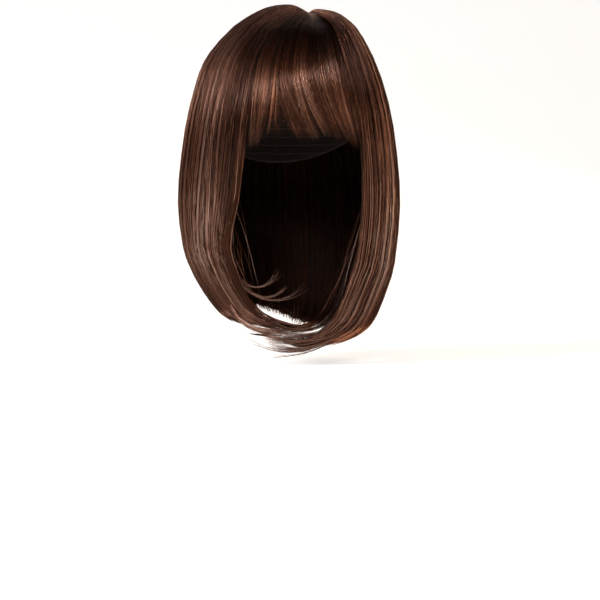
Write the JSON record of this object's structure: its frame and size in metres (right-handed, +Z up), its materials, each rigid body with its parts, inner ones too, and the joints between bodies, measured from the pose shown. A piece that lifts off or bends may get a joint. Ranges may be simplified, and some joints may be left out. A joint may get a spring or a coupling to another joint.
{
  "type": "wig",
  "caption": "Straight bob wig with a full fringe and ends turned in, on an open stretch cap; it is worn on a head and keeps its worn form.",
  "frame": {"origin": "inside of the cap's crown, where the top of the head touches it", "axes": "+Z up, -Y the way the face looks, +X the wearer's left"},
  "size_m": [0.213, 0.2178, 0.3243],
  "materials": {
    "hair": "soft-sheen brown synthetic hair",
    "cap": "dark brown stretch net",
    "scalp": "matt scalp-coloured strip"
  },
  "bodies": {
    "root": {"cap": "cap", "parting_strip": "scalp", "fringe": "hair", "right_side_hair": "hair", "left_side_hair": "hair", "back_hair": "hair"}
  },
  "joints": []
}
